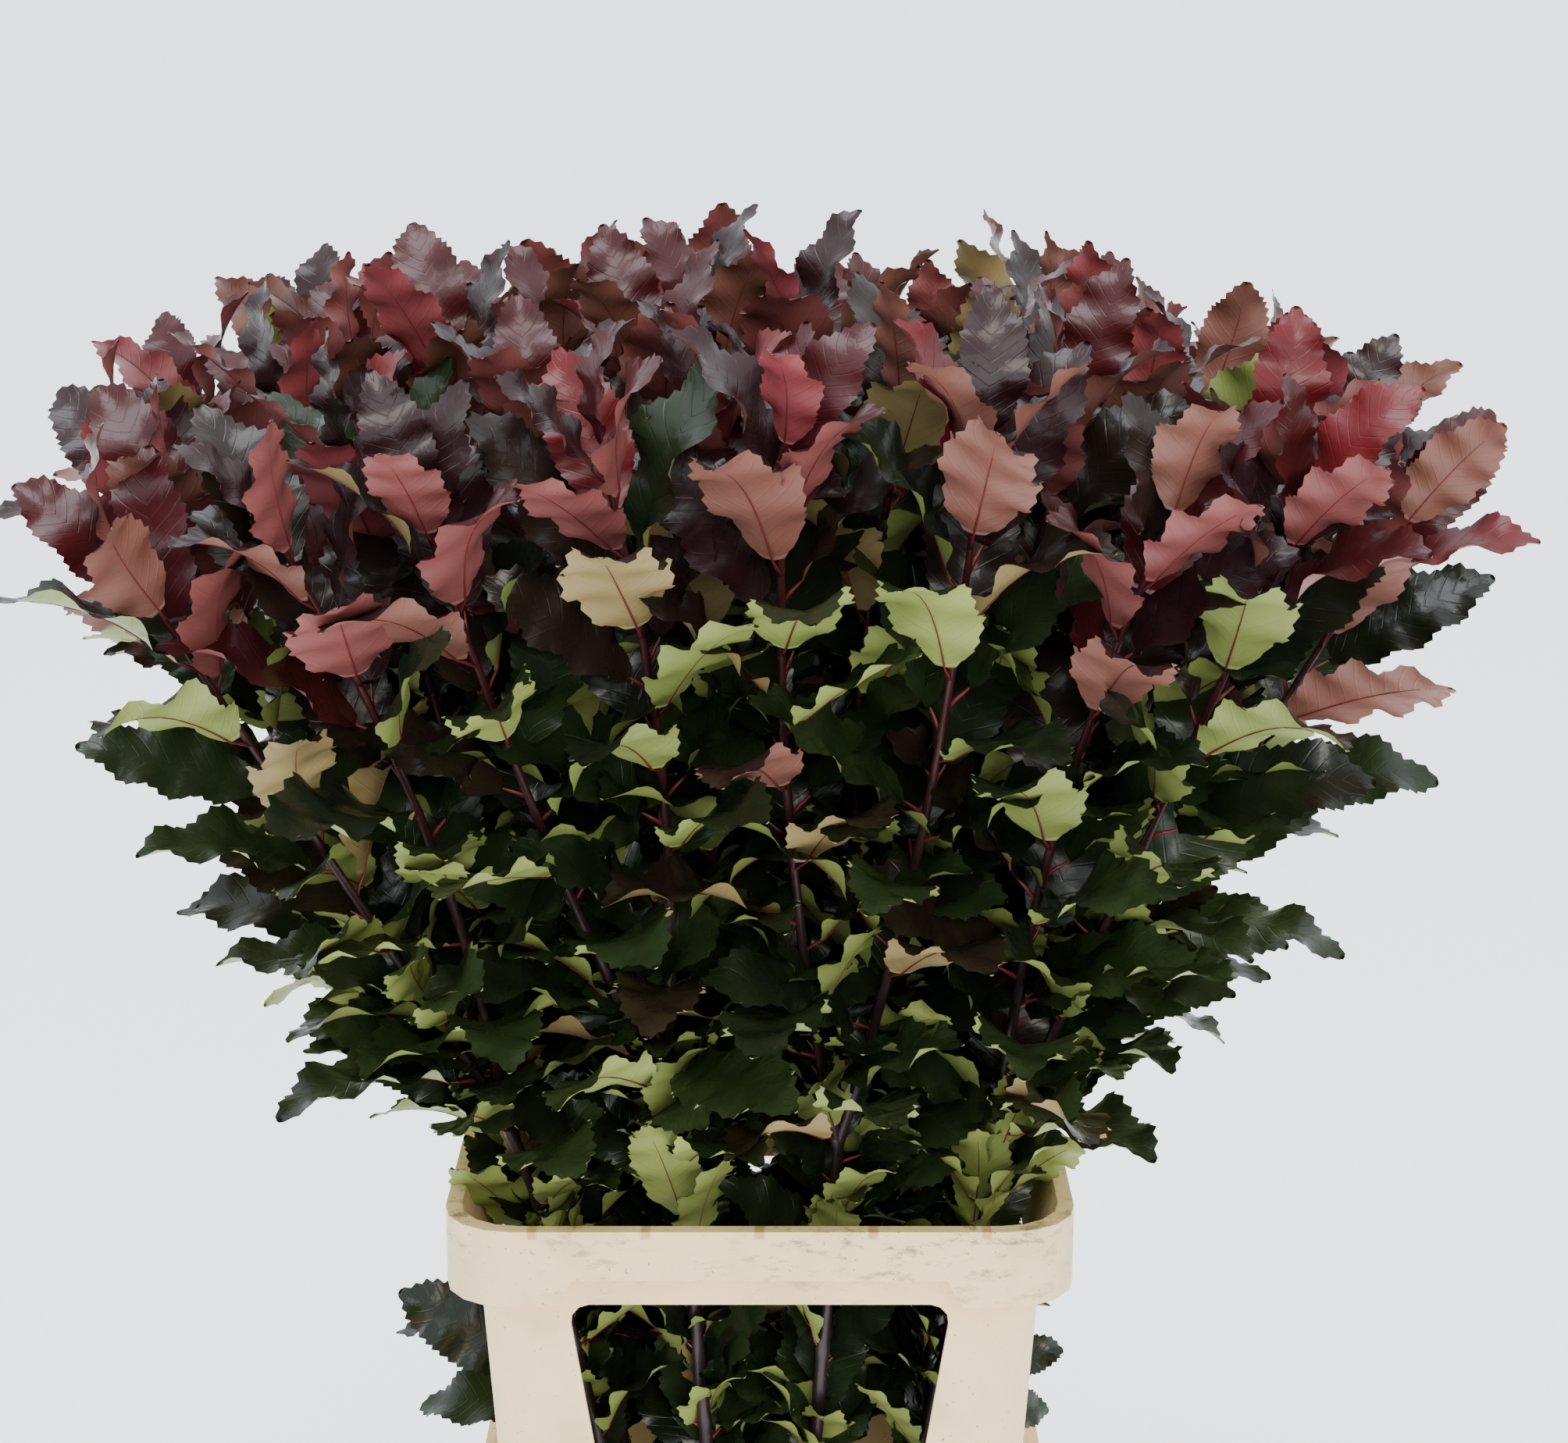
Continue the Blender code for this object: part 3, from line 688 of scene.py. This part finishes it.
def leaf_shapes():
    """Every shape of leaf in every tone, in a collection whose order is its index."""
    shapes = bpy.data.collections.new("leaf_shapes")
    bpy.context.scene.collection.children.link(shapes)
    for tone, (name, top, under, rough) in enumerate(TONES):
        upper = leaf_skin("waxed_leaf_" + name, top, rough, True)
        lower = leaf_skin("leaf_underside_" + name, under, UNDERSIDE_ROUGHNESS, False)
        for kind in range(SHAPES):
            made = leaf_shape(f"shape_{tone * SHAPES + kind:03d}", kind, upper, lower)
            bpy.context.scene.collection.objects.unlink(made)
            shapes.objects.link(made)
    return shapes


def leaf_tree():
    """Sets a leaf on each point by its turn, length and kind, and paints the stalks."""
    tree = bpy.data.node_groups.new("leaves on points", "GeometryNodeTree")
    face = tree.interface
    face.new_socket("Geometry", in_out="INPUT", socket_type="NodeSocketGeometry")
    sockets = {
        "shapes": face.new_socket("Leaf Shapes", in_out="INPUT", socket_type="NodeSocketCollection"),
        "size": face.new_socket("Leaf Size", in_out="INPUT", socket_type="NodeSocketFloat"),
        "stalk": face.new_socket("Stalk Material", in_out="INPUT", socket_type="NodeSocketMaterial"),
    }
    face.new_socket("Geometry", in_out="OUTPUT", socket_type="NodeSocketGeometry")
    start = add(tree, "NodeGroupInput")
    kind, turn, length, stalk = (
        add(tree, "GeometryNodeInputNamedAttribute", data_type=data_type, in_Name=name)
        for name, data_type in (
            ("kind", "INT"), ("turn", "FLOAT_VECTOR"), ("length", "FLOAT"), ("stalk", "BOOLEAN"),
        )
    )
    size = overlap(tree, (length, "Attribute"), (start, "Leaf Size"))
    turned = add(tree, "FunctionNodeEulerToRotation", [(0, turn, "Attribute")])
    shapes = add(
        tree,
        "GeometryNodeCollectionInfo",
        [("Collection", start, "Leaf Shapes")],
        in_Separate_Children=True,
        in_Reset_Children=True,
    )
    placed = add(
        tree,
        "GeometryNodeInstanceOnPoints",
        [
            ("Points", start, "Geometry"),
            ("Instance", shapes, 0),
            ("Instance Index", kind, "Attribute"),
            ("Rotation", turned, 0),
            ("Scale", size, "Value"),
        ],
        in_Pick_Instance=True,
    )
    real = add(tree, "GeometryNodeRealizeInstances", [("Geometry", placed, "Instances")])
    painted = add(
        tree,
        "GeometryNodeSetMaterial",
        [
            ("Geometry", real, "Geometry"),
            ("Selection", stalk, "Attribute"),
            ("Material", start, "Stalk Material"),
        ],
    )
    end = add(tree, "NodeGroupOutput")
    tree.links.new(painted.outputs["Geometry"], end.inputs[0])
    return tree, {name: socket.identifier for name, socket in sockets.items()}


def tone_at(share, rule):
    """A tone dealt out by how far down its shoot a leaf stands."""
    for (low, before), (high, after) in zip(TONE_STAGES, TONE_STAGES[1:]):
        if share <= high:
            break
    part = min(1.0, (share - low) / (high - low))
    weights = [a + (b - a) * part for a, b in zip(before, after)]
    return rule.choices(range(len(TONES)), weights)[0]


def leaf_pose(way, turn, spread, roll):
    """The leaf's turn as Euler angles, and its direction: turned round its stem and spread from it."""
    side = way.orthogonal().normalized()
    outward = math.cos(turn) * side + math.sin(turn) * way.cross(side)
    along = way * math.cos(spread) + outward * math.sin(spread)
    upper = way * math.sin(spread) - outward * math.cos(spread)
    upper = Matrix.Rotation(roll, 3, along) @ upper
    across = along.cross(upper)
    return Matrix((across, along, upper)).transposed().to_euler(), along


def clears_collar(root, along, length):
    """True if a leaf stays inside the collar, or passes over its ring."""
    for step in range(1, CLEAR_STEPS + 1):
        share = step / CLEAR_STEPS
        place = root + along * length * share
        height = place.z - SAG * length * share**2
        if height > RING_TOP + RING_CLEARANCE:
            continue
        half_x, half_y = COLLAR_HALF_X, COLLAR_HALF_Y
        if height > RING_BOTTOM:
            half_x, half_y = RING_HALF_X, RING_HALF_Y
        if abs(place.x) > half_x or abs(place.y) > half_y:
            return False
    return True


def low_leaf(stem, height, lengths, spreads, rule):
    """A leaf of the green stretch, drawn again until it clears the collar, or None."""
    length = rule.uniform(*lengths)
    root = stem_place(stem, height, 0)
    way = way_at(stem, height, 0)
    for _ in range(LOW_TRIES):
        turn = rule.uniform(0, 2 * math.pi)
        spread = math.radians(rule.uniform(*spreads))
        euler, along = leaf_pose(way, turn, spread, rule.uniform(-LOW_ROLL, LOW_ROLL))
        if clears_collar(root, along, length):
            tone = tone_at(rule.uniform(*LOW_AGE), rule)
            return root, euler, length, tone * SHAPES + rule.randrange(SHAPES)
    return None


def low_leaves(stem, low, high, count, lengths, spreads, rule):
    """The leaves of a stretch of stem that clear the collar."""
    heights = [float(height) for height in np.linspace(low, high, count)]
    leaves = [low_leaf(stem, height, lengths, spreads, rule) for height in heights]
    return [leaf for leaf in leaves if leaf]


def leaves_of_shoot(stem, shoot, count, rule):
    """The leaves of a shoot from its tip down, each a golden angle round from the one above it."""
    tip = stem["tips"][shoot].z
    lowest = max(FIRST_LEAF, stem["fork"] + FORK_CLEARANCE if shoot else 0)
    phase = rule.uniform(0, 2 * math.pi)
    ageing = rule.uniform(*SHOOT_AGEING)
    leaves = []
    for i in range(count):
        share = i / (count - 1)
        height = tip - TIP_GAP - LEAF_SPAN * share**LEAF_CROWDING
        if height < lowest:
            continue
        spread = TOP_SPREAD + (LOW_SPREAD - TOP_SPREAD) * share**SPREAD_POWER
        spread *= rule.uniform(*SPREAD_RANGE)
        turn = phase + i * GOLDEN_ANGLE + rule.uniform(-TURN_SCATTER, TURN_SCATTER)
        roll = rule.uniform(-ROLL, ROLL)
        root = stem_place(stem, height, shoot)
        way = way_at(stem, height, shoot)
        length = TOP_LEAF + (FULL_LEAF - TOP_LEAF) * min(1, share / FULL_AT)
        length *= rule.uniform(*LENGTH_RANGE)
        euler, along = leaf_pose(way, turn, spread, roll)
        if not clears_collar(root, along, length):
            euler, along = leaf_pose(way, turn, STEEPER * spread, roll)
        age = max(0, share + ageing + rule.uniform(-AGE_SCATTER, AGE_SCATTER))
        tone = tone_at(age, rule)
        leaves.append((root, euler, length, tone * SHAPES + rule.randrange(SHAPES)))
    return leaves


def leaves_of_row(row, stems, count):
    """Every leaf of a row of stems, as (root, turn, length, kind)."""
    rule = random.Random(SEED * 50 + row)
    leaves = []
    for stem in stems:
        for shoot in range(SHOOTS):
            leaves += leaves_of_shoot(stem, shoot, count, rule)
        leaves += low_leaves(
            stem, RING_LOW, RING_HIGH, RING_LEAVES, RING_LEAF_LENGTH, RING_LEAF_SPREAD, rule,
        )
    return leaves


def leaves_inside(stems, half):
    """The low leaves of the front or back half of the stems, each turned until it clears the collar."""
    rule = random.Random(SEED * 90 + half)
    leaves = []
    for stem in stems:
        leaves += low_leaves(
            stem, INNER_LOW, INNER_HIGH, INNER_LEAVES, INNER_LEAF_LENGTH, INNER_LEAF_SPREAD, rule,
        )
    return leaves


def leaves_at_sides():
    """The few leaves that reach out through the side windows, further on the left."""
    rule = random.Random(SEED * 97)
    leaves = []
    for side, y, z, lift, roll, length in SIDE_LEAVES:
        root = Vector((side * SIDE_ROOT_X, y, z))
        rise = math.radians(lift)
        swing = rule.uniform(-SIDE_SWING, SIDE_SWING)
        along = Vector((side * math.cos(rise), swing, math.sin(rise))).normalized()
        across = along.cross(Vector((0, 0, 1))).normalized()
        upper = Matrix.Rotation(side * math.radians(roll), 3, along) @ across.cross(along)
        euler = Matrix((along.cross(upper), along, upper)).transposed().to_euler()
        leaves.append((root, euler, length, FIRST_GREEN * SHAPES + rule.randrange(2 * SHAPES)))
    return leaves


def grow(name, leaves, group, identifiers, shapes, stalk, size):
    """One plain mesh of leaves, made by the tree from a point for each leaf."""
    points = mesh_piece(name, [leaf[0] for leaf in leaves], [], smooth=False)
    mesh = points.data
    for label, kind, field, values in (
        ("turn", "FLOAT_VECTOR", "vector", [c for leaf in leaves for c in leaf[1]]),
        ("length", "FLOAT", "value", [leaf[2] for leaf in leaves]),
        ("kind", "INT", "value", [leaf[3] for leaf in leaves]),
    ):
        mesh.attributes.new(label, kind, "POINT").data.foreach_set(field, values)
    modifier = points.modifiers.new("leaves", "NODES")
    modifier.node_group = group
    modifier[identifiers["shapes"]] = shapes
    modifier[identifiers["size"]] = size
    modifier[identifiers["stalk"]] = stalk
    graph = bpy.context.evaluated_depsgraph_get()
    grown = bpy.data.meshes.new_from_object(
        points.evaluated_get(graph), preserve_all_data_layers=True, depsgraph=graph
    )
    points.modifiers.clear()
    points.data = grown
    for label in ("turn", "length", "kind", "stalk"):
        if label in grown.attributes:
            grown.attributes.remove(grown.attributes[label])
    return points


def soft_light(name, place, size, energy, colour):
    """A round area light that faces the plant."""
    light = bpy.data.lights.new(name, "AREA")
    light.shape = "DISK"
    light.size = size
    light.energy = energy
    light.color = srgb(colour)[:3]
    made = bpy.data.objects.new(name, light)
    made.location = place
    made.rotation_euler = (Vector(LIGHT_AIM) - Vector(place)).to_track_quat("-Z", "Y").to_euler()
    bpy.context.scene.collection.objects.link(made)


class PHOTINIA_OT_container(bpy.types.Operator):
    """Bucket and collar with rounded moulded edges and handled plastic"""

    bl_idname = "photinia.container"
    bl_label = "Bucket and Collar"

    def execute(self, context):
        settings = context.scene.photinia_container
        plastic = moulded_polypropylene(tuple(settings.plastic))
        for node in ("bucket", "collar"):
            work = bmesh.new()
            work.from_mesh(frame["nodes"][node].data)
            bmesh.ops.remove_doubles(work, verts=work.verts, dist=WELD)
            bmesh.ops.dissolve_limit(work, angle_limit=FLAT_ANGLE, verts=work.verts, edges=work.edges)
            mesh = bpy.data.meshes.new(node + "_moulded")
            work.to_mesh(mesh)
            work.free()
            mesh.materials.append(plastic)
            mesh.shade_smooth()
            mesh.set_sharp_from_angle(angle=EDGE_ANGLE)
            piece = bpy.data.objects.new(node + "_moulded", mesh)
            context.scene.collection.objects.link(piece)
            edge = piece.modifiers.new("edge", "BEVEL")
            edge.width = settings.edge
            edge.segments = 2
            edge.limit_method = "ANGLE"
            edge.angle_limit = EDGE_ANGLE
            edge.harden_normals = True
            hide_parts(node)
            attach(piece, "root")
        return {"FINISHED"}


class PHOTINIA_OT_stems(bpy.types.Operator):
    """The stems and their shoots, with bark in relief"""

    bl_idname = "photinia.stems"
    bl_label = "Stems and Shoots"

    def execute(self, context):
        bark = young_bark()
        stems = plan_stems()
        canes = [
            bark_limb(
                stem, 0, FLOOR_GAP, stem["fork"] + CANE_PAST_FORK, STEM_BASE_RADIUS, FORK_RADIUS,
                CANE_SIDES,
            )
            for stem in stems
        ]
        shoots = [
            bark_limb(
                stem, shoot, stem["fork"] - SHOOT_BEFORE_FORK, stem["tips"][shoot].z, FORK_RADIUS,
                TIP_RADIUS, SHOOT_SIDES,
            )
            for stem in stems
            for shoot in range(SHOOTS)
        ]
        nodes = [f"stem_{number + 1:02d}" for number in range(len(stems))]
        for name, parts, replaced in (("bark_stems", canes, nodes), ("bark_shoots", shoots, ())):
            piece = mesh_piece(name, *joined(parts))
            piece.data.materials.append(bark)
            if replaced:
                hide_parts(*replaced)
            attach(piece, "root")
        return {"FINISHED"}


class PHOTINIA_OT_leaves(bpy.types.Operator):
    """Every leaf, in a piece for each row of stems and two inside the collar"""

    bl_idname = "photinia.leaves"
    bl_label = "Leaves"

    def execute(self, context):
        settings = context.scene.photinia_leaves
        stems = plan_stems()
        shapes = leaf_shapes()
        stalk = leaf_stalk()
        group, identifiers = leaf_tree()
        for row in range(ROWS):
            own = [stem for stem in stems if stem["row"] == row]
            leaves = leaves_of_row(row, own, settings.leaves)
            piece = grow(f"leaves_row_{row + 1}", leaves, group, identifiers, shapes, stalk, settings.size)
            first = row * STEMS_IN_ROW
            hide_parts(*(f"foliage_{first + k + 1:02d}" for k in range(STEMS_IN_ROW)))
            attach(piece, "root")
        inner = sorted(name for name in frame["nodes"] if name.startswith("inner_foliage"))
        middle = len(inner) // 2
        for half, name in enumerate(("leaves_inside_front", "leaves_inside_back")):
            own = [stem for stem in stems if stem["row"] // (ROWS // 2) == half]
            leaves = leaves_inside(own, half) + (leaves_at_sides() if half == 0 else [])
            piece = grow(name, leaves, group, identifiers, shapes, stalk, settings.size)
            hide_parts(*(inner[middle:] if half else inner[:middle]))
            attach(piece, "root")
        for shape in list(shapes.objects):
            bpy.data.objects.remove(shape, do_unlink=True)
        bpy.data.collections.remove(shapes)
        return {"FINISHED"}


class PHOTINIA_OT_stage(bpy.types.Operator):
    """The pale floor, soft light and the photograph's camera"""

    bl_idname = "photinia.stage"
    bl_label = "Studio"

    def execute(self, context):
        turns = [2 * math.pi * k / FLOOR_SIDES for k in range(FLOOR_SIDES)]
        rim = [(FLOOR_REACH * math.cos(turn), FLOOR_REACH * math.sin(turn), 0) for turn in turns]
        floor = mesh_piece("floor", rim, [tuple(range(FLOOR_SIDES))], smooth=False)
        painted, _, shader = shader_of("painted_floor")
        shader.inputs["Base Color"].default_value = srgb(FLOOR_COLOUR)
        shader.inputs["Roughness"].default_value = 0.9
        shader.inputs["Emission Color"].default_value = srgb(FLOOR_COLOUR)
        shader.inputs["Emission Strength"].default_value = FLOOR_GLOW
        floor.data.materials.append(painted)
        world = bpy.data.worlds.new("studio")
        world.use_nodes = True
        background = world.node_tree.nodes["Background"]
        background.inputs["Color"].default_value = srgb(WORLD_COLOUR)
        background.inputs["Strength"].default_value = WORLD_STRENGTH
        context.scene.world = world
        soft_light("overhead", (-0.3, -0.9, 3.4), 2.6, 95, "F4F8FF")
        soft_light("front", (0.9, -3.4, 2.2), 2.0, 66, "FFF8EE")
        camera = bpy.data.objects.new("camera", bpy.data.cameras.new("camera"))
        camera.data.lens = CAMERA_LENS
        camera.data.sensor_width = CAMERA_SENSOR
        camera.location = CAMERA_PLACE
        camera.rotation_euler = (math.pi / 2 - CAMERA_PITCH, 0, 0)
        context.scene.collection.objects.link(camera)
        context.scene.camera = camera
        return {"FINISHED"}


class PHOTINIA_PT_panel(bpy.types.Panel):
    """The steps that dress the part"""

    bl_label = "Photinia"
    bl_space_type = "VIEW_3D"
    bl_region_type = "UI"
    bl_category = "Photinia"

    def draw(self, context):
        column = self.layout.column()
        column.prop(context.scene.photinia_container, "edge")
        column.prop(context.scene.photinia_container, "plastic")
        column.prop(context.scene.photinia_leaves, "leaves")
        column.prop(context.scene.photinia_leaves, "size")
        for step in STEPS:
            column.operator(step.bl_idname)


STEPS = (PHOTINIA_OT_container, PHOTINIA_OT_stems, PHOTINIA_OT_leaves, PHOTINIA_OT_stage)
CLASSES = (ContainerSettings, LeafSettings, *STEPS, PHOTINIA_PT_panel)


def register():
    for made in CLASSES:
        bpy.utils.register_class(made)
    bpy.types.Scene.photinia_container = PointerProperty(type=ContainerSettings)
    bpy.types.Scene.photinia_leaves = PointerProperty(type=LeafSettings)


def unregister():
    del bpy.types.Scene.photinia_leaves
    del bpy.types.Scene.photinia_container
    for made in reversed(CLASSES):
        bpy.utils.unregister_class(made)


def main():
    register()
    bpy.ops.photinia.container()
    bpy.ops.photinia.stems()
    bpy.ops.photinia.leaves()
    bpy.ops.photinia.stage()


if __name__ == "__main__":
    main()
